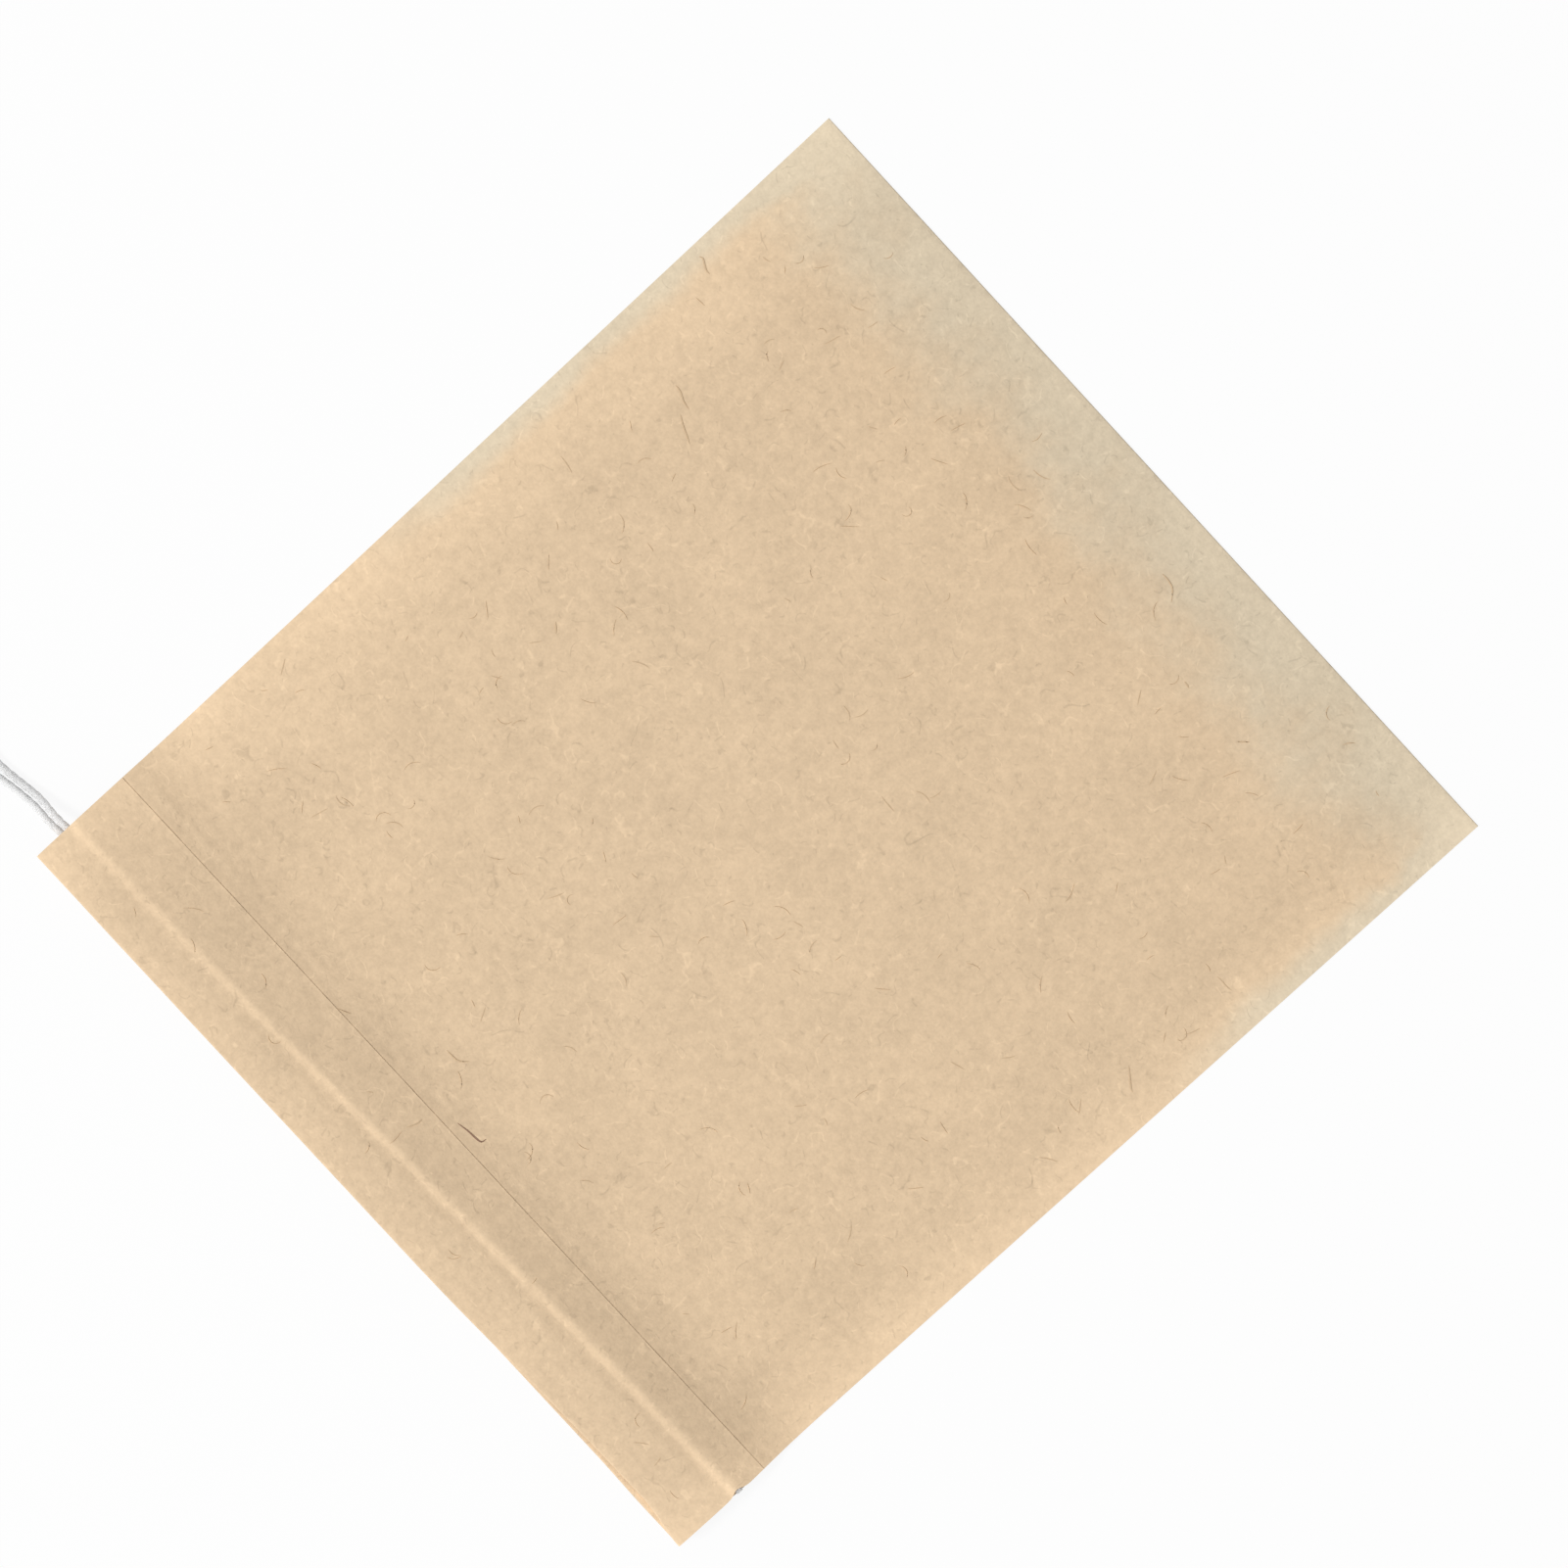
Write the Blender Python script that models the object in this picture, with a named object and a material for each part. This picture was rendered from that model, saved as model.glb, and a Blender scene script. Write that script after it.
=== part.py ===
"""Drawstring tea bag of unbleached filter paper, empty and lying flat.

One sheet is folded at the bottom, sealed along both sides and hemmed outwards at the mouth.
One cord runs through the front and the back hem, with both ends caught in the right seal.
Its middle leaves the hems at the left as a pull loop, which is gathered into a small coil.

+X runs along the mouth, +Y from the mouth to the bottom fold, and +Z is up, off the front panel.
The origin is at the middle of the bag, on the surface that it lies on.
"""

import math

import bpy
from mathutils import Vector

MM = 0.001

# The sheet
BAG_WIDTH = 70 * MM
BAG_LENGTH = 80 * MM
PAPER = 0.12 * MM
SEAL_WIDTH = 4.4 * MM
POCKET_GAP = 0.25 * MM
SEALED_GAP = 0.06 * MM
BLEND_WIDTH = 5 * MM

# The hems, by their depth from the mouth
FRONT_HEM = 8.9 * MM
HEM_OFFSET = 1.35 * MM
GLUE_WIDTH = 0.55 * MM
GLUED_GAP = 0.03 * MM
FOLD_WALL = 0.3 * MM
RAW_EDGE = 0.04 * MM
MOUTH_ROOM = 0.3 * MM
LIP_STEP_LEFT = 0.1 * MM
LIP_STEP_RIGHT = 0.6 * MM
LIP_DROP = 0.02 * MM
RIDGE_SHARE = 0.573
RIDGE_SWING = 1.2 * MM
RUN_OFFSET = 0.8 * MM
CREST_SHARE = 0.38
DRAPE_LENGTH = 12 * MM
FLAP_RELIEF = 4 * MM

# The cord
CORD = 0.6 * MM
CORD_ROOM = 0.2 * MM
TOUCH_GAP = 0.3 * MM
FLOOR_GAP = 0.05 * MM
HEM_SPACING = 5 * CORD
LOOP_SPACING = 2.5 * CORD
JOIN_DEPTH = 1 * MM
END_INSET = 0.1 * MM

# The pull loop's strands, in millimetres out from the left side and across towards the bottom fold,
# from the middle between their exits, with their shares of the fall from the hem and the climb to the coil
UPPER_ROUTE = ((1.7, -0.1), (3.8, -0.35), (6.47, -0.76), (8.7, -0.83), (10.86, -0.29), (12.69, 0.74))
LOWER_ROUTE = ((1.7, -0.9), (3.8, -1.15), (6.33, -1.54), (8.45, -2.23), (10.29, -3.48), (11.66, -5.08))
FALL_SHARES = (0.45, 0.08, 0, 0, 0, 0)
CLIMB_SHARES = (0, 0, 0, 0.1, 0.5, 1)
COIL_OUT = 15.31 * MM
COIL_ACROSS = -2.72 * MM
COIL_RADIUS = 3.3 * MM
COIL_SPREAD = 1.05 * MM
LAYER_GAP = 0.02 * MM
COIL_STEPS = 40
CURVE_STEPS = 16

# Surfaces
PAPER_COLOUR = (0.737, 0.558, 0.352)
PAPER_ROUGHNESS = 0.85
COTTON_COLOUR = (0.83, 0.82, 0.79)
COTTON_ROUGHNESS = 0.9
SHARP_ANGLE = math.radians(50)
MIDDLE_COLUMNS = 8

# Values that follow from those
BACK_HEM = FRONT_HEM + HEM_OFFSET
FRONT_GLUE = FRONT_HEM - GLUE_WIDTH
BACK_GLUE = BACK_HEM - GLUE_WIDTH
CHANNEL = CORD + 2 * CORD_ROOM
CREST = CREST_SHARE * CORD
LAYER_PITCH = CORD + LAYER_GAP
POCKET_HALF = BAG_WIDTH / 2 - SEAL_WIDTH
POCKET_END = BAG_LENGTH - FOLD_WALL
CUT_PAST = 1 * MM
LEFT = -BAG_WIDTH / 2
MOUTH = -BAG_LENGTH / 2


def clamped(share):
    return min(1.0, max(0.0, share))


def eased(share):
    share = clamped(share)
    return share * share * (3 - 2 * share)


# Depths from the mouth


def ridge(x):
    """Where the cord lies in the front hem: it slants away from the mouth towards the right."""
    return RIDGE_SHARE * FRONT_HEM + RIDGE_SWING * math.sin(math.pi * x / BAG_WIDTH)


def back_ridge(x):
    """The run in the back hem lies beside the one in the front hem, nearer the mouth."""
    return ridge(x) - RUN_OFFSET


def lip(x):
    """How far the front fold stands back from the back fold."""
    share = clamped((x - LEFT) / BAG_WIDTH)
    return LIP_STEP_LEFT + (LIP_STEP_RIGHT - LIP_STEP_LEFT) * share


def channel_start(x):
    return lip(x) + RAW_EDGE + FOLD_WALL


def hem_depths(x):
    """The rows of the sheet across the hems, which bend where the paper bends."""
    start = channel_start(x)
    first = back_ridge(x) - CREST
    after = ridge(x) + CREST
    return [
        0,
        lip(x),
        lip(x) + RAW_EDGE,
        start,
        (start + first) / 2,
        first,
        back_ridge(x) + CREST,
        ridge(x) - CREST,
        after,
        (after + FRONT_GLUE) / 2,
        FRONT_GLUE,
        FRONT_HEM,
        FRONT_HEM + RAW_EDGE,
        BACK_GLUE,
        BACK_HEM,
        BACK_HEM + RAW_EDGE,
    ]


FIRST_CHANNEL_ROW = 3
LAST_FRONT_ROW = 10
LAST_BACK_ROW = 13
BODY_SHARES = (0.03, 0.06, 0.1, 0.16, 0.26, 0.4, 0.55, 0.7, 0.82, 0.9, 0.95)


def sheet_depths(x):
    """All rows, from the mouth to the inside of the bottom fold."""
    body = [BACK_HEM + (POCKET_END - BACK_HEM) * share for share in BODY_SHARES]
    return hem_depths(x) + body + [POCKET_END]


# Heights above the surface


def hem_room(x, depth, crest, glue):
    """How far a hem's two layers stand apart: a tent over the cord, glued at its far side."""
    start = channel_start(x)
    before = crest - CREST
    after = crest + CREST
    if depth < before:
        return MOUTH_ROOM + (CHANNEL - MOUTH_ROOM) * clamped((depth - start) / (before - start))
    return GLUED_GAP + (CHANNEL - GLUED_GAP) * clamped((glue - depth) / (glue - after))


def underside(x, depth):
    """The back flap lies flat, and past its raw edge the back panel comes down beside it."""
    if depth <= BACK_HEM:
        return 0.0
    return (PAPER + GLUED_GAP) * (1 - clamped((depth - BACK_HEM) / FLAP_RELIEF))


def back_floor(x, depth):
    return PAPER


def back_ceiling(x, depth):
    return PAPER + hem_room(x, depth, back_ridge(x), BACK_GLUE)


def back_top(x, depth):
    if depth <= BACK_HEM:
        return back_ceiling(x, depth) + PAPER
    return underside(x, depth) + PAPER


def drape(x, depth):
    """The front panel hangs from the ridge down to the body of the bag."""
    start = ridge(x) + CREST
    body = PAPER + POCKET_GAP
    peak = back_top(x, start) + POCKET_GAP
    share = clamped((depth - start) / DRAPE_LENGTH)
    return body + (peak - body) * (1 - share) ** 2


def pocket_gap(x, depth):
    """The panels are sealed at the sides, joined at the bottom fold and apart between."""
    inside = eased((POCKET_HALF - abs(x)) / BLEND_WIDTH)
    before_fold = eased((POCKET_END - depth) / BLEND_WIDTH)
    gap = POCKET_GAP
    if depth > ridge(x) + CREST:
        gap = max(gap, drape(x, depth) - back_top(x, depth))
    return SEALED_GAP + (gap - SEALED_GAP) * inside * before_fold


def pocket_ceiling(x, depth):
    return back_top(x, depth) + pocket_gap(x, depth)


def front_floor(x, depth):
    return pocket_ceiling(x, depth) + PAPER


def front_ceiling(x, depth):
    return front_floor(x, depth) + hem_room(x, depth, ridge(x), FRONT_GLUE)


def outside(x, depth):
    """The top of the bag: the back hem's lip, then the front hem, then the front panel."""
    if depth <= lip(x):
        return back_top(x, depth) - LIP_DROP
    if depth <= FRONT_HEM:
        return front_ceiling(x, depth) + PAPER
    return front_floor(x, depth)


# Building


def clear_scene():
    for thing in list(bpy.data.objects):
        bpy.data.objects.remove(thing, do_unlink=True)


def material(name, colour, roughness):
    made = bpy.data.materials.new(name)
    made.use_nodes = True
    shader = made.node_tree.nodes["Principled BSDF"]
    shader.inputs["Base Color"].default_value = (*colour, 1)
    shader.inputs["Roughness"].default_value = roughness
    shader.inputs["Metallic"].default_value = 0
    made.diffuse_color = (*colour, 1)
    return made


def add_mesh(name, points, faces, paint):
    mesh = bpy.data.meshes.new(name)
    mesh.from_pydata(points, [], faces)
    mesh.materials.append(paint)
    made = bpy.data.objects.new(name, mesh)
    bpy.context.collection.objects.link(made)
    return made


def slab(name, columns, rows_of, low, high, paint):
    """A closed body between two height functions, on columns along X and rows along Y."""
    rows = len(rows_of(columns[0]))
    points = []
    for height in (low, high):
        for x in columns:
            points += [Vector((x, MOUTH + depth, height(x, depth))) for depth in rows_of(x)]
    top = len(columns) * rows
    faces = []
    for column in range(len(columns) - 1):
        for row in range(rows - 1):
            corner = column * rows + row
            across = corner + rows
            faces.append((corner, corner + 1, across + 1))
            faces.append((corner, across + 1, across))
            faces.append((top + corner, top + across + 1, top + corner + 1))
            faces.append((top + corner, top + across, top + across + 1))
    last = (len(columns) - 1) * rows
    for row in range(rows - 1):
        faces.append((row, top + row, top + row + 1, row + 1))
        far = last + row
        faces.append((far, far + 1, top + far + 1, top + far))
    for column in range(len(columns) - 1):
        near = column * rows
        faces.append((near, near + rows, top + near + rows, top + near))
        far = near + rows - 1
        faces.append((far, top + far, top + far + rows, far + rows))
    return add_mesh(name, points, faces, paint)


def cut(body, cutter):
    """The cutter stays in the file as a wire guide."""
    cutter.hide_render = True
    cutter.display_type = "WIRE"
    step = body.modifiers.new(cutter.name, "BOOLEAN")
    step.operation = "DIFFERENCE"
    step.solver = "EXACT"
    step.object = cutter


def spread(start, end, count):
    return [start + (end - start) * index / count for index in range(count + 1)]


def add_pouch(paper):
    half = BAG_WIDTH / 2
    open_half = POCKET_HALF - BLEND_WIDTH
    seal = [-half, (-half - POCKET_HALF) / 2]
    blend = [-POCKET_HALF, -POCKET_HALF + BLEND_WIDTH / 4, -POCKET_HALF + BLEND_WIDTH / 2]
    middle = spread(-open_half, open_half, MIDDLE_COLUMNS)
    pocket = blend + middle + [-x for x in reversed(blend)]
    columns = seal + pocket + [-x for x in reversed(seal)]
    past = [-half - CUT_PAST] + columns + [half + CUT_PAST]

    def rows(x):
        return sheet_depths(x) + [BAG_LENGTH]

    def pocket_rows(x):
        return [-CUT_PAST] + sheet_depths(x)

    def front_rows(x):
        return hem_depths(x)[FIRST_CHANNEL_ROW : LAST_FRONT_ROW + 1]

    def back_rows(x):
        return hem_depths(x)[FIRST_CHANNEL_ROW : LAST_BACK_ROW + 1]

    pouch = slab("pouch", columns, rows, underside, outside, paper)
    cut(pouch, slab("pocket_cutter", pocket, pocket_rows, back_top, pocket_ceiling, paper))
    cut(pouch, slab("front_cutter", past, front_rows, front_floor, front_ceiling, paper))
    cut(pouch, slab("back_cutter", past, back_rows, back_floor, back_ceiling, paper))


def smooth_curve(route):
    """Close points on a smooth curve through the route's points."""
    ends = [2 * route[0] - route[1]] + route + [2 * route[-1] - route[-2]]
    fine = []
    for index in range(1, len(ends) - 2):
        before, here, there, beyond = ends[index - 1 : index + 3]
        for share in spread(0, 1, CURVE_STEPS)[:-1]:
            bend = 2 * before - 5 * here + 4 * there - beyond
            twist = 3 * here - before - 3 * there + beyond
            fine.append(
                here + (share * (there - before) + share**2 * bend + share**3 * twist) / 2
            )
    return fine + [route[-1]]


def evenly(fine):
    """The same curve with its points a few diameters apart."""
    lengths = [(there - here).length for here, there in zip(fine, fine[1:])]
    pieces = max(1, round(sum(lengths) / LOOP_SPACING))
    step = sum(lengths) / pieces
    path = [fine[0]]
    walked = 0.0
    for here, there, length in zip(fine, fine[1:], lengths):
        while len(path) < pieces and walked + length >= step * len(path):
            path.append(here.lerp(there, (step * len(path) - walked) / length))
        walked += length
    return path + [fine[-1]]


def add_tube(name, path, paint):
    curve = bpy.data.curves.new(name, "CURVE")
    curve.dimensions = "3D"
    curve.bevel_depth = CORD / 2
    curve.bevel_resolution = 2
    curve.render_resolution_u = 0
    curve.use_fill_caps = True
    spline = curve.splines.new("POLY")
    spline.points.add(len(path) - 1)
    for point, place in zip(spline.points, path):
        point.co = (*place, 1)
    spline.use_smooth = True
    curve.materials.append(paint)
    bpy.context.collection.objects.link(bpy.data.objects.new(name, curve))


def back_place(x):
    depth = back_ridge(x)
    return Vector((x, MOUTH + depth, back_floor(x, depth) + CORD_ROOM + CORD / 2))


def front_place(x):
    depth = ridge(x)
    return Vector((x, MOUTH + depth, front_floor(x, depth) + CORD_ROOM + CORD / 2))


def add_hem_run(name, place, paint):
    """The stretch inside a hem, from just inside the left side to the right seal's edge."""
    start = LEFT + JOIN_DEPTH + TOUCH_GAP
    end = BAG_WIDTH / 2 - END_INSET
    count = round((end - start) / HEM_SPACING)
    add_tube(name, [place(x) for x in spread(start, end, count)], paint)


def exits_middle():
    return (front_place(LEFT).xy + back_place(LEFT).xy) / 2


def coil_centre():
    middle = exits_middle()
    return Vector((middle.x - COIL_OUT, middle.y + COIL_ACROSS, 0))


def add_loop_strand(name, place, route, climb, paint):
    """A strand of the pull loop, from inside the hem down to the surface and on to the coil's side."""
    exit_point = place(LEFT)
    middle = exits_middle()
    lying = FLOOR_GAP + CORD / 2
    fall = exit_point.z - lying
    points = [place(LEFT + JOIN_DEPTH), exit_point]
    for (out, across), fallen, climbed in zip(route, FALL_SHARES, CLIMB_SHARES):
        height = lying + fall * fallen + climb * climbed
        points.append(Vector((middle.x - out * MM, middle.y + across * MM, height)))
    centre = coil_centre()
    clear = COIL_RADIUS + COIL_SPREAD + CORD + TOUCH_GAP
    fine = [p for p in smooth_curve(points) if (p.xy - centre.xy).length > clear]
    add_tube(name, evenly(fine), paint)


def add_coil(paint):
    """The gathered turns, two layers of them, as one turned ring with rounded corners."""
    height = FLOOR_GAP + LAYER_PITCH + CORD
    half = COIL_SPREAD + CORD / 2
    corner = CORD / 4
    section = [
        (COIL_RADIUS - half + corner, 0),
        (COIL_RADIUS + half - corner, 0),
        (COIL_RADIUS + half, corner),
        (COIL_RADIUS + half, height - corner),
        (COIL_RADIUS + half - corner, height),
        (COIL_RADIUS - half + corner, height),
        (COIL_RADIUS - half, height - corner),
        (COIL_RADIUS - half, corner),
    ]
    points = []
    faces = []
    for step in range(COIL_STEPS):
        angle = math.tau * step / COIL_STEPS
        following = (step + 1) % COIL_STEPS
        for index, (radius, level) in enumerate(section):
            points.append((radius * math.cos(angle), radius * math.sin(angle), level))
            beside = (index + 1) % len(section)
            faces.append(
                (
                    step * len(section) + index,
                    following * len(section) + index,
                    following * len(section) + beside,
                    step * len(section) + beside,
                )
            )
    coil = add_mesh("drawstring_loop_coil", points, faces, paint)
    coil.location = coil_centre()
    coil.data.shade_smooth()
    coil.data.set_sharp_from_angle(angle=SHARP_ANGLE)


def cotton(name):
    return material(name, COTTON_COLOUR, COTTON_ROUGHNESS)


def add_drawstring():
    add_hem_run("drawstring_front_run", front_place, cotton("front_run"))
    add_hem_run("drawstring_back_run", back_place, cotton("back_run"))
    add_loop_strand(
        "drawstring_loop_upper", front_place, UPPER_ROUTE, LAYER_PITCH, cotton("loop_upper")
    )
    add_loop_strand("drawstring_loop_lower", back_place, LOWER_ROUTE, 0, cotton("loop_lower"))
    add_coil(cotton("loop_coil"))


def main():
    clear_scene()
    add_pouch(material("filter_paper", PAPER_COLOUR, PAPER_ROUGHNESS))
    add_drawstring()


main()
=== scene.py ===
"""Drawstring tea bag of unbleached filter paper, lying empty on a pale table.

The sheet and the cord are made in millimetres, in the solids' own place, and scaled to metres
at the end. A depth is measured from the mouth towards the bottom fold.
"""

import math
import random

import bpy
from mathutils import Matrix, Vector, noise


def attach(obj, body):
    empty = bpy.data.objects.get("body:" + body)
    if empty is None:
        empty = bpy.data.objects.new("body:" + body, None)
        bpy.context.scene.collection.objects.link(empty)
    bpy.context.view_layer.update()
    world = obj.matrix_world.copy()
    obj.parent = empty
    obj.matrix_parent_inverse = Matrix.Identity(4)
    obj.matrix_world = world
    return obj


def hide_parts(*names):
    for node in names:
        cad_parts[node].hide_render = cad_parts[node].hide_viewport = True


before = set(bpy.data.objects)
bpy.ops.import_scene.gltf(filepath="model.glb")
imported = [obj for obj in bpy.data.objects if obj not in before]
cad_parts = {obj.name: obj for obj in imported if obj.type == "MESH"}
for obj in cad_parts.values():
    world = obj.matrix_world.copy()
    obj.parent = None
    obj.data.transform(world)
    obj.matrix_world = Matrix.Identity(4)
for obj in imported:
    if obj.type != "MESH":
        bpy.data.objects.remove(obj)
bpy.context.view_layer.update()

MM = 0.001

# The sheet, with the sizes of its solid
BAG_WIDTH = 70
BAG_LENGTH = 80
SHEET = 0.07
FRONT_HEM = 8.9
BACK_HEM = 10.25
FRONT_GLUE = 8.35
SEAL = 4.4
SEAL_BLEND = 5
LEFT = -BAG_WIDTH / 2
MOUTH = -BAG_LENGTH / 2
COLUMNS = 140

# From the middle of one layer to the middle of the next, in the seals and under the flap's glue,
# and from the table to the middle of the lowest layer
TOUCHING = 0.08
GLUED = 0.073
LYING = 0.04

# The flap's raw edge: the width that is thinned, the share that is taken off, the rows that take
# part in it, and how far the panel below is pressed up to it
EDGE = 0.275
EDGE_THINNED = 0.7
EDGE_ROWS = 6
PRESSED_UP = 0.058

# The depth of the back fold at the mouth, and how far the round of each fold reaches
MOUTH_EDGE = 0.12
BACK_TURN = 0.16
FRONT_TURN = 0.18
END_TURN = 0.05

# The cord
PLIES = 3
PLY_RADIUS = 0.225
PLY_OFFSET = 0.07
PLY_LAY = 2.4
CORD_SIDES = 18
RING_STEP = 0.16
JOIN_DEPTH = 1
FRONT_RUN_HEIGHT = 1.53
BACK_RUN_HEIGHT = 0.5
RUN_STEPS = 70
CUT_END = BAG_WIDTH / 2 + 0.05

# The pull loop's route from the front hem to the coil, and from the back hem to the coil
UPPER_ROUTE = [
    (-34.0, -36.35, 1.53),
    (-35.0, -36.62, 1.50),
    (-36.4, -36.8, 1.0),
    (-38.3, -36.85, 0.5),
    (-41.47, -37.32, 0.35),
    (-43.7, -37.33, 0.41),
    (-45.86, -36.79, 0.66),
    (-47.69, -35.76, 0.97),
]
LOWER_ROUTE = [
    (-34.0, -37.0, 0.5),
    (-35.0, -37.42, 0.48),
    (-36.4, -37.57, 0.44),
    (-38.3, -37.58, 0.37),
    (-41.33, -38.07, 0.35),
    (-43.45, -38.73, 0.35),
    (-45.29, -39.98, 0.35),
    (-46.66, -41.58, 0.35),
]
COIL_CENTRE = (-50.31, -39.22)
COIL_OUTER = 4.345
COIL_INNER = 2.25
COIL_START = math.radians(52.87)
COIL_TURNS = 6.7618
COIL_STEPS = 24
LAYER_HEIGHTS = (0.35, 0.97)

# The fibres that lie on the front: a count of short ones, and the ones that the eye catches, by
# their (x, depth) marks
FIBRE_COUNT = 200
FIBRE_STEP = 0.14
FIBRE_SIDES = 3
PULP_THICKNESS = 0.04
CLEAR_THICKNESS = 0.065
BARK_FIBRE = [(0.6, 9.65), (1.6, 9.82), (2.4, 9.88), (2.85, 10.0), (2.95, 10.4)]
CLEAR_FIBRES = [
    [(-3.9, 12.7), (-3.3, 12.7), (-2.7, 12.8), (-2.1, 13.4)],
    [(-1.7, 6.8), (-1.4, 7.5), (-1.4, 8.0)],
    [(5.8, 75.5), (6.4, 75.5), (7.1, 75.3), (7.8, 74.6)],
    [(12.7, 71.4), (13.3, 71.3)],
    [(18.5, 71.2), (19.2, 71.9)],
    [(-11.7, 8.9), (-11.0, 9.2), (-10.7, 9.4)],
    [(-34.1, 66.3), (-33.8, 66.4), (-33.4, 66.2), (-33.0, 66.0), (-32.6, 66.0)],
    [(-28.4, 58.7), (-27.8, 58.6), (-27.1, 58.3), (-26.4, 58.2)],
    [(-26.6, 57.5), (-25.9, 57.1), (-25.2, 56.8), (-24.5, 56.5)],
    [(-21.7, 40.4), (-21.0, 39.8)],
    [(30.9, 49.3), (31.8, 48.6), (32.2, 48.3), (32.6, 48.1)],
]

# Colours
TAN_PAPER = (0.731, 0.55, 0.363)
# The greyer tan: partly the paper's own tone, partly painted sheen
GREY_SHEEN_PAPER = (0.672, 0.564, 0.41)
DULL_COTTON = (0.79, 0.79, 0.79)
BRIGHT_COTTON = (0.88, 0.88, 0.87)
PULP = (0.61, 0.45, 0.285)
BARK = (0.27, 0.16, 0.11)

# Camera, table and light
LENS = 116.82
SENSOR = 36
CAMERA_PLACE = (-14.3643, 45.882, 371.9989)
CAMERA_TURNS = (-5.73697, 3.31991, 47.23003)
TABLE_SIZE = 6
TABLE_DROP = 0.02
LAMP_SIZE = 0.36
LAMP_POWER = 12.2
LAMP_DISTANCE = 1.3
LAMP_HEIGHT = math.radians(48)
LAMP_TURN = math.radians(-115)


def clamped(share):
    return min(1.0, max(0.0, share))


def eased(share):
    share = clamped(share)
    return share * share * (3 - 2 * share)


def between(first, second, share):
    return first + (second - first) * share


def gaussian(offset, width):
    return math.exp(-((offset / width) ** 2))


# Camera


def add_camera():
    lens = bpy.data.cameras.new("camera")
    lens.lens = LENS
    lens.sensor_width = SENSOR
    lens.clip_start = 0.01
    camera = bpy.data.objects.new("camera", lens)
    camera.location = Vector(CAMERA_PLACE) * MM
    camera.rotation_euler = [math.radians(turn) for turn in CAMERA_TURNS]
    bpy.context.collection.objects.link(camera)
    bpy.context.scene.camera = camera


# Materials


class Value:
    """What a node gives, with sums and products, so that a mask reads as a sum."""

    def __init__(self, nodes, socket):
        self.nodes = nodes
        self.socket = socket

    def joined(self, operation, *values):
        sockets = dict(enumerate(values))
        return self.nodes.node("ShaderNodeMath", {"operation": operation}, sockets)

    def __add__(self, other):
        return self.joined("ADD", self, other)

    def __sub__(self, other):
        return self.joined("SUBTRACT", self, other)

    def __rsub__(self, other):
        return self.joined("SUBTRACT", other, self)

    def __mul__(self, other):
        return self.joined("MULTIPLY", self, other)

    def __abs__(self):
        return self.joined("ABSOLUTE", self)

    __radd__ = __add__
    __rmul__ = __mul__

    def larger(self, other):
        return self.joined("MAXIMUM", self, other)

    def limited(self):
        return self.nodes.node("ShaderNodeClamp", {}, {"Value": self})

    def eased(self, start, end):
        """0 before start and 1 past end, with a soft change between."""
        settings = {"interpolation_type": "SMOOTHSTEP"}
        sockets = {"Value": self, "From Min": start, "From Max": end}
        return self.nodes.node("ShaderNodeMapRange", settings, sockets)


class Nodes:
    """The nodes of a material or of the world."""

    def __init__(self, owner):
        owner.use_nodes = True
        self.tree = owner.node_tree

    def put(self, socket, value):
        if isinstance(value, Value):
            self.tree.links.new(value.socket, socket)
        elif socket.type == "RGBA":
            socket.default_value = (*value, 1)
        else:
            socket.default_value = value

    def node(self, kind, settings, sockets, out=0):
        made = self.tree.nodes.new(kind)
        for name, setting in settings.items():
            setattr(made, name, setting)
        for name, value in sockets.items():
            self.put(made.inputs[name], value)
        return Value(self, made.outputs[out]) if made.outputs else None


class Finish(Nodes):
    """A material for one of the bag's surfaces."""

    def __init__(self, name):
        self.material = bpy.data.materials.new(name)
        super().__init__(self.material)
        self.shader = self.tree.nodes["Principled BSDF"]

    def look(self, **sockets):
        for name, value in sockets.items():
            self.put(self.shader.inputs[name.replace("_", " ")], value)

    def place(self):
        """Where a point lies on the bag, in millimetres."""
        metres = self.node("ShaderNodeTexCoord", {}, {}, "Object")
        return self.vector("SCALE", metres, Scale=1 / MM)

    def vector(self, operation, first, second=None, **sockets):
        given = {0: first, **sockets}
        if second is not None:
            given[1] = second
        return self.node("ShaderNodeVectorMath", {"operation": operation}, given)

    def part(self, vector, axis):
        return self.node("ShaderNodeSeparateXYZ", {}, {0: vector}, axis)

    def noise(self, place, size, detail=2, roughness=0.5):
        """Soft random patches of about that size in millimetres, from 0 to 1."""
        sockets = {"Vector": place, "Scale": 1 / size, "Detail": detail, "Roughness": roughness}
        return self.node("ShaderNodeTexNoise", {}, sockets)

    def mix(self, share, first, second):
        sockets = {0: share, 6: first, 7: second}
        return self.node("ShaderNodeMix", {"data_type": "RGBA"}, sockets, 2)

    def shaded(self, colour, amount):
        """A colour made lighter or darker by an amount round 1."""
        return self.vector("SCALE", colour, Scale=amount)


class Backdrop(Nodes):
    """The table or the room, which looks paler to the eye than the light that it gives the bag."""

    def __init__(self, owner):
        super().__init__(owner)
        self.tree.nodes.clear()

    def end(self, output, lighting, seen):
        """One shader for the light on the bag, and one for rays that end in the eye."""
        rays = ("Is Camera Ray", "Is Glossy Ray", "Is Transmission Ray")
        straight, gloss, glass = [self.node("ShaderNodeLightPath", {}, {}, ray) for ray in rays]
        share = straight.larger(gloss).larger(glass)
        mixed = self.node("ShaderNodeMixShader", {}, {0: share, 1: lighting, 2: seen})
        self.node(output, {}, {"Surface": mixed})


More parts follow.
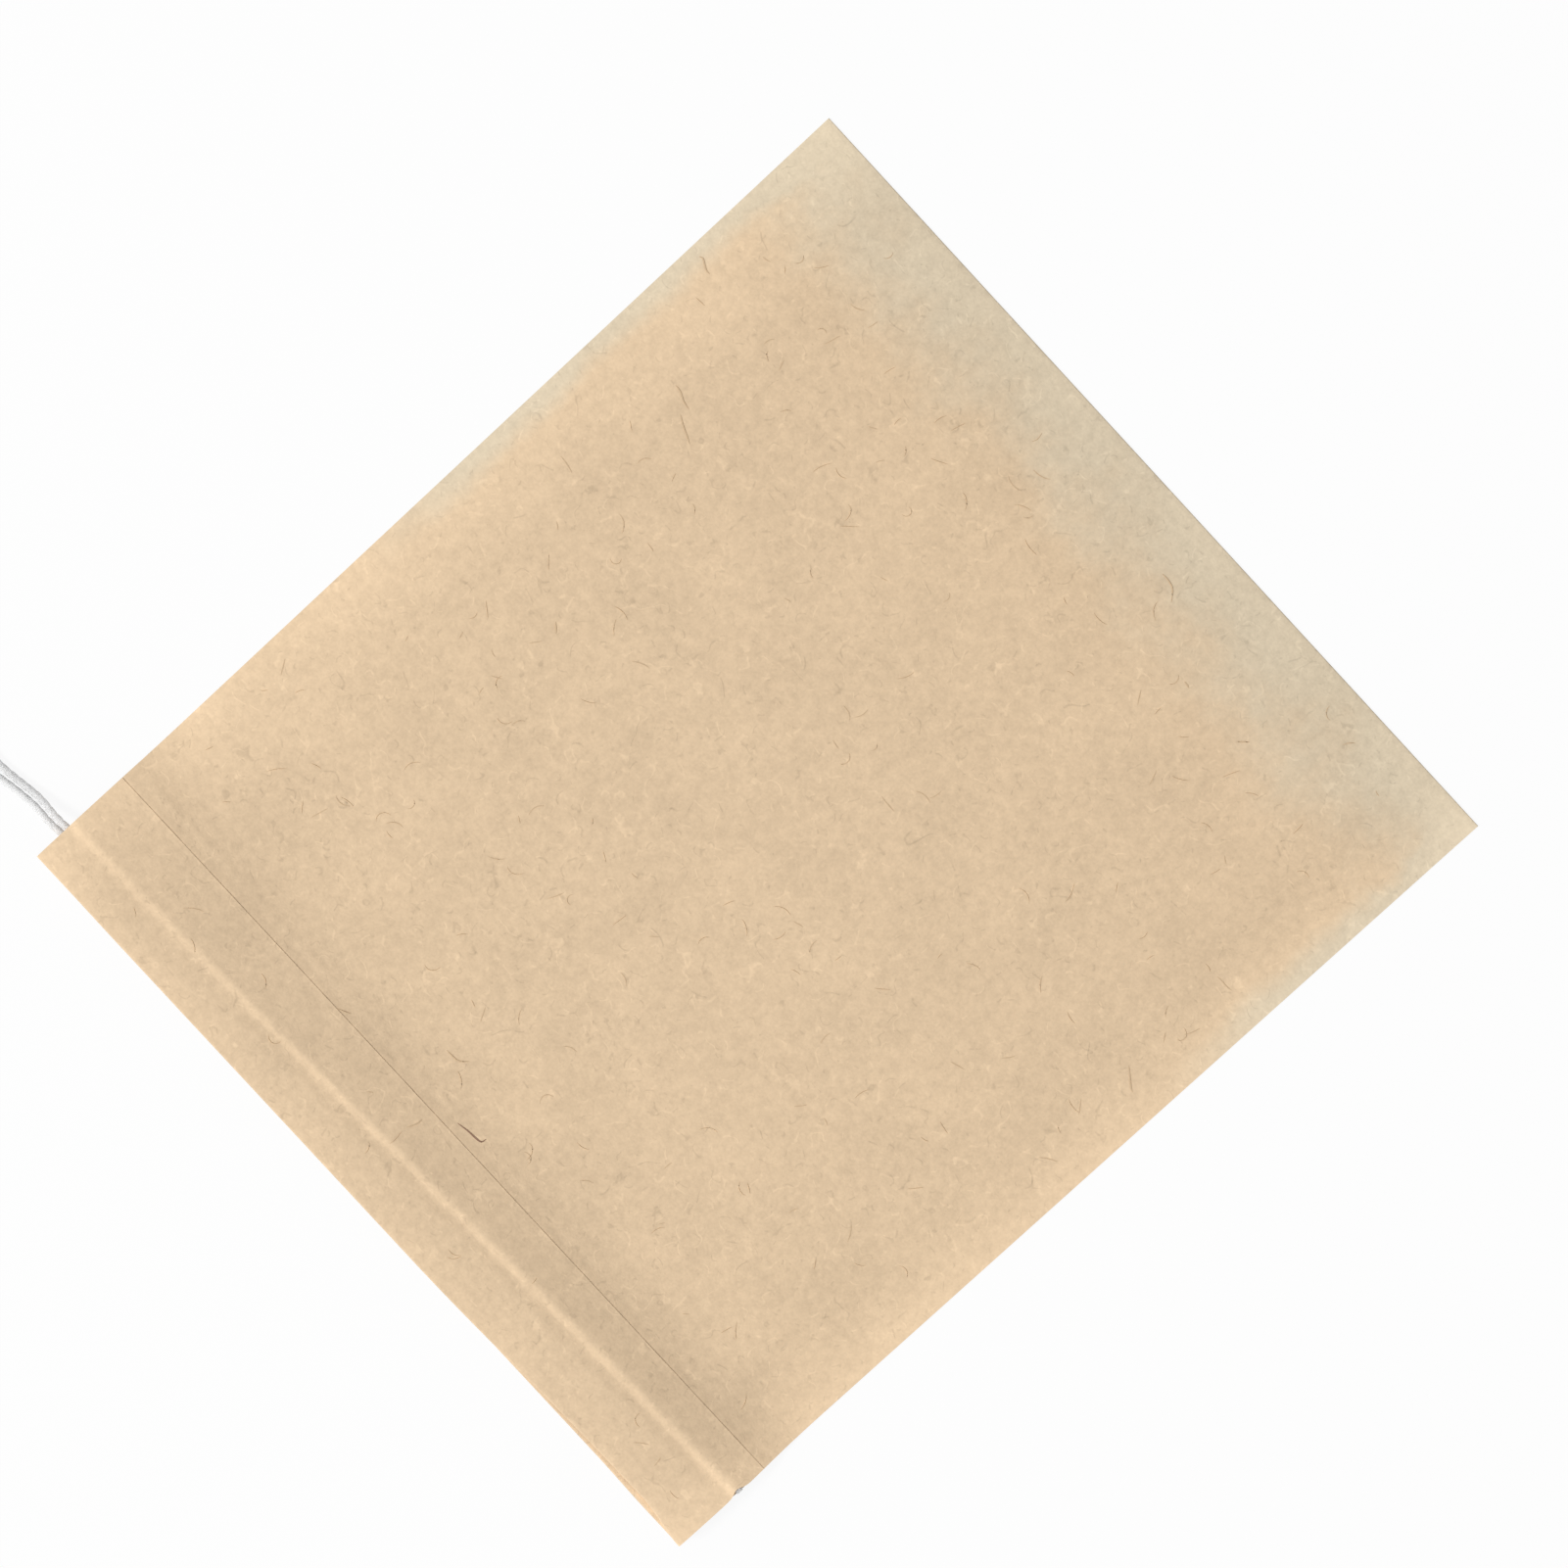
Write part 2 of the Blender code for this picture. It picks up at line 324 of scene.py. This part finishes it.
def fibres(finish, place, size, width, share):
    """Thin wandering fibres: stretches of the lines along which a soft noise is level."""
    level = abs(finish.noise(place, size, detail=1) - 0.5)
    patch = finish.noise(finish.vector("ADD", place, (size * 9, 0, size * 5)), size * 0.5)
    return (1 - level.eased(0, width / size)) * patch.eased(0.62 - share, 0.67 - share)


def filter_paper():
    """Unbleached long-fibre paper: a warm tan with flecks, soft clouds and thin curly fibres."""
    paper = Finish("filter_paper")
    place = paper.place()
    across, along = paper.part(place, "X"), paper.part(place, "Y")
    clouds = paper.noise(place, 7, detail=4, roughness=0.6) - 0.5
    flecks = paper.noise(place, 0.7, detail=3, roughness=0.6) - 0.5
    grain = paper.noise(place, 0.22) - 0.5
    dark_fibres = fibres(paper, place, 1.6, 0.05, 0.06)
    long_fibres = fibres(paper, paper.vector("ADD", place, (37, 11, 0)), 4, 0.055, 0.02)
    pale_fibres = fibres(paper, paper.vector("ADD", place, (5, 53, 9)), 2, 0.06, 0.08)

    # Painted light: the paper is made paler towards the left and right sides and the bottom fold,
    # most on the left, for light from the lamp and the pale table coming through the thin paper
    left_painted_light = (-26 - across).eased(0, 14) * 0.225
    right_painted_light = (across - 29).eased(0, 9) * 0.2
    fold_painted_light = (along - 34).eased(0, 9) * 0.1
    shade = 1 + clouds * 0.22 + flecks * 0.34 + grain * 0.2 + left_painted_light + right_painted_light + fold_painted_light
    shade = shade - dark_fibres * 0.12 - long_fibres * 0.14 + pale_fibres * 0.1

    # A greyer, paler tan towards the bottom fold and along the sides: partly the paper's own tone,
    # partly painted sheen
    fold_grey_and_sheen = (along + clouds * 14).eased(29, 39)
    left_grey_and_sheen = (clouds * 3 - across).eased(32.6, 34.6) * along.eased(-8, 4)
    right_grey_and_sheen = (across + clouds * 3).eased(32.6, 34.6) * along.eased(8, 22)
    grey_and_sheen = (fold_grey_and_sheen + left_grey_and_sheen + right_grey_and_sheen).limited()
    colour = paper.mix(grey_and_sheen, TAN_PAPER, GREY_SHEEN_PAPER)

    height = flecks + grain * 0.5 + dark_fibres * 0.2 + long_fibres * 0.3 + pale_fibres * 0.3
    sockets = {"Strength": 0.5, "Distance": 0.05 * MM, "Height": height}
    paper.look(
        Base_Color=paper.shaded(colour, shade),
        Roughness=0.9,
        Specular_IOR_Level=0.2,
        Normal=paper.node("ShaderNodeBump", {}, sockets),
    )
    return paper.material


def cotton():
    """White cotton yarn, a little grey, that light passes through, with a trace of fine hairs."""
    cord = Finish("cotton_cord")
    place = cord.place()
    hairs = cord.noise(place, 0.09, detail=3) - 0.5
    patches = cord.noise(place, 0.5) - 0.5
    colour = cord.mix(patches.eased(-0.3, 0.3), DULL_COTTON, BRIGHT_COTTON)
    sockets = {"Strength": 0.1, "Distance": 0.03 * MM, "Height": hairs}
    cord.look(
        Base_Color=cord.shaded(colour, 1 + hairs * 0.08),
        Roughness=0.9,
        Specular_IOR_Level=0.2,
        Normal=cord.node("ShaderNodeBump", {}, sockets),
        Subsurface_Weight=1.0,
        Subsurface_Radius=(1.0, 1.0, 1.0),
        Subsurface_Scale=2.2 * MM,
    )
    return cord.material


def fibre_finish(name, colour):
    finish = Finish(name)
    finish.look(Base_Color=colour, Roughness=0.9, Specular_IOR_Level=0.2)
    return finish.material


# The sheet


def ridge(x):
    """The depth of the cord in the front hem."""
    return 5.365 + 0.0165 * x + 0.525 * math.sin(math.pi * x / BAG_WIDTH)


def back_ridge(x):
    """The depth of the cord in the back hem."""
    return ridge(x) - 0.8


def front_fold(x):
    """The depth of the front fold at the mouth, which stands back from the back fold."""
    return 0.28 + 0.5 * eased((x - 6) / 22) * (1 - eased((x - 30.5) / 4.5))


def seal(x):
    """1 in the side seals and 0 between them."""
    share = clamped((BAG_WIDTH / 2 - SEAL - abs(x)) / SEAL_BLEND)
    return (1 - share) ** 2


def profile(keys, depth):
    """The height at a depth, on a smooth line through a layer's (depth, height) keys."""
    index = 0
    while index < len(keys) - 2 and depth > keys[index + 1][0]:
        index += 1
    here, there = keys[index], keys[index + 1]
    before = keys[max(index - 1, 0)]
    beyond = keys[min(index + 2, len(keys) - 1)]
    width = there[0] - here[0]
    share = clamped((depth - here[0]) / width)
    leave = width * (there[1] - before[1]) / (there[0] - before[0])
    arrive = width * (beyond[1] - here[1]) / (beyond[0] - here[0])
    change = there[1] - here[1]
    bend = 3 * change - 2 * leave - arrive
    twist = leave + arrive - 2 * change
    return here[1] + share * (leave + share * (bend + share * twist))


def cockle(x, depth):
    """The soft waves of the paper's body."""
    place = Vector((x / 13, depth / 13, 0.4))
    return 0.1 * noise.noise(place) + 0.035 * noise.noise(place * 3)


def lying_back(x, depth):
    """The back panel between the seals: over its cord, to its hem's edge, along the table."""
    crest = back_ridge(x)
    keys = [
        (0.0, 0.46),
        (0.8, 0.5),
        (crest * 0.55, 0.76),
        (crest - 0.55, 0.9),
        (crest, 0.95),
        (crest + 0.55, 0.88),
        (crest + 2.0, 0.6),
        (9.2, 0.18),
        (9.8, 0.125),
        (10.3, 0.12),
        (10.9, 0.09),
        (12.6, 0.045),
        (16, LYING),
        (BAG_LENGTH, LYING),
    ]
    return profile(keys, depth)


def top_line(x, depth):
    """The upper side: a low dome at the mouth, the cord's narrow ridge, the fall to the body."""
    crest = ridge(x)
    sharp = eased((x + 24) / 14)
    keys = [
        (0.0, 1.86),
        (0.9, 1.96),
        (crest * 0.4, 2.02),
        (crest - 1.6, 1.94),
        (crest - 0.75, 1.865 - 0.05 * sharp),
        (crest - 0.12, 1.975),
        (crest + 0.3, 1.92),
        (between(crest, 10, 0.35), between(1.92, 0.9, 0.31)),
        (10, 0.9),
        (12, 0.5),
    ]
    return profile(keys, depth)


def back_hem_mark(x, depth):
    """The back hem's raw edge shows through as a faint line, broken here and there."""
    strength = 0.009 + 0.009 * noise.noise(Vector((x / 3, 0, 7)))
    return strength * gaussian(depth - BACK_HEM + 0.1, 0.2)


def free_front(x, depth):
    """The front panel between the seals: clear of the cord under the flap, in view past it."""
    crest = ridge(x)
    under = top_line(x, FRONT_GLUE) - GLUED
    glued = [(FRONT_GLUE, under), (FRONT_HEM, top_line(x, FRONT_HEM) - GLUED)]
    if depth < FRONT_GLUE:
        channel = [
            (0.0, 1.46),
            (1.5, 1.33),
            (crest - 0.8, 1.2),
            (crest, 1.17),
            (FRONT_GLUE - 0.8, under - 0.02),
        ]
        return profile(channel + glued, depth)
    if depth < FRONT_HEM:
        rise = PRESSED_UP * eased(1 - (FRONT_HEM - depth) / EDGE)
        return top_line(x, depth) - GLUED + rise
    body = [
        (10, 0.86),
        (10.8, 0.69),
        (11.6, 0.555),
        (12.7, 0.445),
        (14.2, 0.37),
        (17, 0.32),
        (22, 0.3),
        (BAG_LENGTH, 0.3),
    ]
    fall = PRESSED_UP * (1 - eased((depth - FRONT_HEM) / 0.8))
    waves = cockle(x, depth) * eased((depth - 9) / 8) + fall
    return profile(glued + body, depth) + back_hem_mark(x, depth) + waves


def front_panel(x, depth):
    """The front panel, which meets the back one at the side seals and at the bottom fold."""
    free = free_front(x, depth)
    touching = lying_back(x, depth) + TOUCHING
    near_mouth = between(1.1, 1.14, clamped(depth / 6))
    hem = between(near_mouth, free, eased((depth - 5) / 3.3))
    meeting = between(hem, touching, eased((depth - 9) / 6))
    height = between(free, meeting, seal(x))
    fold = clamped((BAG_LENGTH - 0.2 - depth) / 6)
    return between(touching + 0.02, height, 1 - (1 - fold) ** 2)


def back_panel(x, depth):
    """The back panel, which is raised to the front one at the side seals of the hems."""
    free = lying_back(x, depth)
    raised = max(free, front_panel(x, depth) - TOUCHING)
    return between(free, raised, seal(x))


def front_flap(x, depth):
    """The front hem's flap, whose raw edge is thinned from below and stands up a little."""
    near_edge = clamped(1 - (FRONT_HEM - depth) / EDGE)
    level = SHEET / 2 * EDGE_THINNED * eased(near_edge)
    long_waves = 0.018 * noise.noise(Vector((x / 2.2, 3, 1)))
    short_waves = 0.012 * noise.noise(Vector((x / 0.7, 9, 1)))
    lift = 0.017 + long_waves + short_waves
    rise = 0.012 * eased((depth - FRONT_GLUE) / 0.3)
    return top_line(x, depth) + rise + level + lift * near_edge**2


def rows_between(start, *stretches):
    """Depths from start on, with a count of rows up to the end of each stretch."""
    depths = []
    for count, end in stretches:
        depths += [between(start, end, row / count) for row in range(count)]
        start = end
    return depths + [start]


def fold_line(depth, low, high, turn, steps):
    """A fold's round from one layer to the next, as points of (depth, height)."""
    middle, reach = (low + high) / 2, (high - low) / 2
    points = []
    for step in range(1, steps):
        angle = math.pi * step / steps
        points.append((depth + turn * (1 - math.sin(angle)), middle - reach * math.cos(angle)))
    return points


def sheet_line(x):
    """One column of the sheet, from the back flap's raw edge to the front flap's."""
    crest = ridge(x)
    back_start = MOUTH_EDGE + BACK_TURN
    front_start = front_fold(x) + FRONT_TURN
    end = BAG_LENGTH - END_TURN
    flap = [(depth, LYING) for depth in rows_between(BACK_HEM, (16, 0.8), (4, back_start))]
    back_depths = rows_between(
        back_start,
        (14, crest - 1.6),
        (16, crest + 0.2),
        (16, BACK_HEM - 0.3),
        (6, BACK_HEM + 1),
        (10, 16),
        (24, 76),
        (8, end),
    )
    back = [(depth, back_panel(x, depth)) for depth in back_depths]
    front_depths = rows_between(
        front_start,
        (16, crest),
        (14, FRONT_HEM - EDGE),
        (12, FRONT_HEM + 0.3),
        (12, BACK_HEM + 0.5),
        (16, 17),
        (60, 75),
        (12, end),
    )
    front = [(depth, front_panel(x, depth)) for depth in reversed(front_depths)]
    top_depths = rows_between(
        front_start, (14, crest - 0.8), (14, crest + 0.8), (16, FRONT_GLUE), (12, FRONT_HEM)
    )
    top = [(depth, front_flap(x, depth)) for depth in top_depths]
    line = flap + fold_line(MOUTH_EDGE, flap[-1][1], back[0][1], BACK_TURN, 8)
    line += back + fold_line(BAG_LENGTH, back[-1][1], front[0][1], -END_TURN, 6)
    line += front + fold_line(front_fold(x), front[-1][1], top[0][1], FRONT_TURN, 10)
    return line + top


def opened(x, depth, height):
    """How far the flap's side edge stands back over the cord's cut ends, which show there."""
    over_cord = eased((height - 1.45) / 0.2) * gaussian(depth - ridge(x), 0.55)
    return 0.3 * over_cord * eased((x - 32.5) / 2.5)


def add_mesh(name, points, faces, finish):
    mesh = bpy.data.meshes.new(name)
    mesh.from_pydata([Vector(point) * MM for point in points], [], faces)
    mesh.materials.append(finish)
    made = bpy.data.objects.new(name, mesh)
    bpy.context.collection.objects.link(made)
    mesh.shade_smooth()
    mesh.set_sharp_from_angle(angle=math.radians(60))
    return made


def add_sheet(finish):
    """The one folded sheet, with a skin on each side of its line and a rim all round."""
    grid = []
    for column in range(COLUMNS + 1):
        x = LEFT + BAG_WIDTH * column / COLUMNS
        line = [Vector((x, MOUTH + depth, height)) for depth, height in sheet_line(x)]
        for point in line:
            point.x -= opened(x, point.y - MOUTH, point.z)
        grid.append(line)
    rows = len(grid[0])
    outer, inner = [], []
    for column, line in enumerate(grid):
        beside = grid[min(column + 1, COLUMNS)]
        behind = grid[max(column - 1, 0)]
        for row, point in enumerate(line):
            down = line[min(row + 1, rows - 1)] - line[max(row - 1, 0)]
            thin = 1 - EDGE_THINNED * eased(1 - (rows - 1 - row) / EDGE_ROWS)
            out = (beside[row] - behind[row]).cross(down).normalized() * (SHEET / 2 * thin)
            outer.append(point - out)
            inner.append(point + out)
    count = len(outer)
    faces = []
    for column in range(COLUMNS):
        for row in range(rows - 1):
            corner = column * rows + row
            across = corner + rows
            faces.append((corner, across, across + 1, corner + 1))
            faces.append((count + corner, count + corner + 1, count + across + 1, count + across))
    last = COLUMNS * rows
    for row in range(rows - 1):
        faces.append((row, row + 1, count + row + 1, count + row))
        faces.append((last + row, count + last + row, count + last + row + 1, last + row + 1))
    for column in range(COLUMNS):
        near = column * rows
        far = near + rows - 1
        faces.append((near, count + near, count + near + rows, near + rows))
        faces.append((far, far + rows, count + far + rows, count + far))
    sheet = add_mesh("filter_paper_sheet", outer + inner, faces, finish)
    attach(sheet, "root")
    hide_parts("pouch")


# The cord


def smooth_curve(route, steps):
    """Close points on a smooth curve through the route's points."""
    ends = [2 * route[0] - route[1]] + route + [2 * route[-1] - route[-2]]
    fine = []
    for index in range(1, len(ends) - 2):
        before, here, there, beyond = ends[index - 1 : index + 3]
        leave = there - before
        bend = 2 * before - 5 * here + 4 * there - beyond
        twist = 3 * here - before - 3 * there + beyond
        for step in range(steps):
            share = step / steps
            fine.append(here + (share * leave + share**2 * bend + share**3 * twist) / 2)
    return fine + [route[-1]]


def evenly(fine, step):
    """The same curve with its points one step apart."""
    path = [fine[0]]
    walked = 0.0
    for here, there in zip(fine, fine[1:]):
        length = (there - here).length
        while walked + length >= step * len(path):
            path.append(here.lerp(there, (step * len(path) - walked) / length))
        walked += length
    return path


def heading(path, index):
    """The way that a path goes at one of its points."""
    return (path[min(index + 1, len(path) - 1)] - path[max(index - 1, 0)]).normalized()


def round_point(point, side, up, angle, radius):
    """A point of a tube's ring, at an angle from its side towards its upper side."""
    return point + (side * math.cos(angle) + up * math.sin(angle)) * radius


def tube_faces(start, rings, sides):
    """The faces round a tube whose rings of points begin at start, and those at its ends."""
    faces = []
    for ring in range(rings - 1):
        for corner in range(sides):
            here = start + ring * sides + corner
            beside = start + ring * sides + (corner + 1) % sides
            faces.append((here, beside, beside + sides, here + sides))
    end = start + (rings - 1) * sides
    faces.append(tuple(start + corner for corner in reversed(range(sides))))
    faces.append(tuple(end + corner for corner in range(sides)))
    return faces


def coil_route():
    """Inwards in the upper layer, down at the middle, and outwards again in the lower one."""
    low, high = LAYER_HEIGHTS
    count = round(COIL_TURNS * COIL_STEPS)
    points = []
    for step in range(1, count):
        share = step / count
        angle = COIL_START + COIL_TURNS * math.tau * share
        radius = between(COIL_INNER, COIL_OUTER, abs(2 * share - 1))
        x = COIL_CENTRE[0] + radius * math.cos(angle)
        y = COIL_CENTRE[1] + radius * math.sin(angle)
        height = between(high, low, eased((share - 0.5) * COIL_TURNS / 0.5 + 0.5))
        points.append(Vector((x, y, height)))
    return points


def ply_bulge(turn):
    """The cord's radius at a turn round it: a crown over each ply, a groove between plies."""
    from_crown = ((turn * PLIES + math.pi) % math.tau - math.pi) / PLIES
    across = PLY_OFFSET * math.sin(from_crown)
    return PLY_OFFSET * math.cos(from_crown) + math.sqrt(PLY_RADIUS**2 - across**2)


def twisted(name, paths, finish):
    """Three plies laid round each other along each path, as one closed tube with grooves."""
    turns = [math.tau * corner / CORD_SIDES for corner in range(CORD_SIDES)]
    bulges = [ply_bulge(turn) for turn in turns]
    points, faces = [], []
    for path in paths:
        faces += tube_faces(len(points), len(path), CORD_SIDES)
        side = Vector((0, 0, 1)).cross(path[1] - path[0]).normalized()
        for index, point in enumerate(path):
            ahead = heading(path, index)
            side = (side - ahead * side.dot(ahead)).normalized()
            up = ahead.cross(side)
            lay = math.tau * index * RING_STEP / PLY_LAY
            for turn, bulge in zip(turns, bulges):
                points.append(round_point(point, side, up, turn + lay, bulge))
    return add_mesh(name, points, faces, finish)


def add_pull_loop(finish):
    upper = [Vector(point) for point in UPPER_ROUTE]
    lower = [Vector(point) for point in reversed(LOWER_ROUTE)]
    path = evenly(smooth_curve(upper + coil_route() + lower, 8), RING_STEP)
    loop = twisted("pull_loop", [path], finish)
    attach(loop, "root")
    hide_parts("drawstring_loop_upper", "drawstring_loop_lower", "drawstring_loop_coil")
    [tuple(point * MM) for point in path]


def run_through(depth_of, height, loop_start):
    """The cord inside one hem, from the loop to its cut end, which just shows at the seal."""
    start = LEFT + JOIN_DEPTH + 0.05
    bend = loop_start[1] - MOUTH - depth_of(LEFT + JOIN_DEPTH)
    route = []
    for step in range(RUN_STEPS + 1):
        x = between(start, CUT_END, step / RUN_STEPS)
        depth = depth_of(x) + bend * (1 - eased((x - start) / 2.5))
        route.append(Vector((x, MOUTH + depth, height)))
    return evenly(smooth_curve(route, 12), RING_STEP)


def add_hem_runs(finish):
    front = run_through(ridge, FRONT_RUN_HEIGHT, UPPER_ROUTE[0])
    back = run_through(back_ridge, BACK_RUN_HEIGHT, LOWER_ROUTE[0])
    pieces = twisted("hem_runs", [front, back], finish)
    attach(pieces, "root")
    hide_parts("drawstring_front_run", "drawstring_back_run")


# Loose fibres


def upper_side(x, depth):
    height = front_flap(x, depth) if depth < FRONT_HEM else front_panel(x, depth)
    return height + SHEET / 2


def curled(chance, x, depth, length):
    """A short curled fibre, as points on the paper's upper side."""
    direction = chance.uniform(0, math.tau)
    curl = chance.gauss(0, 0.9)
    change = chance.gauss(0, 0.8)
    steps = max(4, round(length / FIBRE_STEP))
    stride = length / steps
    line = []
    for step in range(steps + 1):
        line.append(Vector((x, MOUTH + depth, upper_side(x, depth))))
        x += stride * math.cos(direction)
        depth += stride * math.sin(direction)
        direction += (curl + change * (step / steps - 0.5)) * stride
    return line


def laid(marks):
    """A fibre on the paper's upper side, through (x, depth) marks."""
    route = smooth_curve([Vector((x, depth, 0)) for x, depth in marks], 6)
    return [Vector((x, MOUTH + depth, upper_side(x, depth))) for x, depth, _ in route]


def add_hairs(name, paths, thickness, finish):
    """Thin hairs along the paths, pointed at both ends."""
    points, faces = [], []
    for path in paths:
        faces += tube_faces(len(points), len(path), FIBRE_SIDES)
        for index, point in enumerate(path):
            ahead = heading(path, index)
            side = ahead.orthogonal().normalized()
            up = ahead.cross(side)
            fullness = clamped(math.sin(math.pi * index / (len(path) - 1))) ** 0.5
            radius = thickness * (0.15 + 0.85 * fullness)
            for corner in range(FIBRE_SIDES):
                angle = math.tau * corner / FIBRE_SIDES
                points.append(round_point(point, side, up, angle, radius))
    hairs = add_mesh(name, points, faces, finish)
    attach(hairs, "root")
    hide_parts("pouch")


def add_fibres(pulp, bark):
    """The longer fibres that lie on the front, some of which the eye catches one by one."""
    chance = random.Random(12)
    paths = []
    while len(paths) < FIBRE_COUNT:
        x, depth = chance.uniform(-33, 33), chance.uniform(2.5, 77.5)
        if abs(depth - FRONT_HEM) > 2.2:
            paths.append(curled(chance, x, depth, chance.uniform(0.5, 1.6)))
    add_hairs("pulp_fibres", paths, PULP_THICKNESS, pulp)
    add_hairs("clear_fibres", [laid(marks) for marks in CLEAR_FIBRES], CLEAR_THICKNESS, pulp)
    add_hairs("bark_fibres", [laid(BARK_FIBRE)], CLEAR_THICKNESS, bark)


# Table and light


def add_table():
    bpy.ops.mesh.primitive_plane_add(size=TABLE_SIZE, location=(0, 0, -TABLE_DROP * MM))
    table = bpy.context.object
    table.name = "table"
    finish = bpy.data.materials.new("pale_table")
    nodes = Backdrop(finish)
    plain = nodes.node("ShaderNodeBsdfDiffuse", {}, {"Color": (0.8, 0.8, 0.8)})
    shadowed = nodes.node("ShaderNodeBsdfDiffuse", {}, {"Color": (0.07, 0.07, 0.07)})
    white = nodes.node("ShaderNodeEmission", {}, {"Color": (0.915, 0.915, 0.915)})
    seen = nodes.node("ShaderNodeAddShader", {}, {0: shadowed, 1: white})
    nodes.end("ShaderNodeOutputMaterial", plain, seen)
    table.data.materials.append(finish)


def add_light():
    """A soft lamp from the mouth's left, and pale light from all sides."""
    lamp = bpy.data.lights.new("window", "AREA")
    lamp.size = LAMP_SIZE
    lamp.energy = LAMP_POWER
    window = bpy.data.objects.new("window", lamp)
    level = math.cos(LAMP_HEIGHT)
    way = Vector((level * math.cos(LAMP_TURN), level * math.sin(LAMP_TURN), math.sin(LAMP_HEIGHT)))
    window.location = way * LAMP_DISTANCE
    window.rotation_euler = way.to_track_quat("Z", "Y").to_euler()
    bpy.context.collection.objects.link(window)
    world = bpy.data.worlds.new("room")
    bpy.context.scene.world = world
    nodes = Backdrop(world)
    pale = nodes.node("ShaderNodeBackground", {}, {"Color": (0.46, 0.46, 0.46)})
    white = nodes.node("ShaderNodeBackground", {}, {"Color": (0.98, 0.98, 0.98)})
    nodes.end("ShaderNodeOutputWorld", pale, white)
    bpy.context.scene.view_settings.view_transform = "Standard"


add_camera()
yarn = cotton()
add_pull_loop(yarn)
add_hem_runs(yarn)
add_sheet(filter_paper())
add_fibres(fibre_finish("pulp_fibre", PULP), fibre_finish("bark_fibre", BARK))
add_table()
add_light()
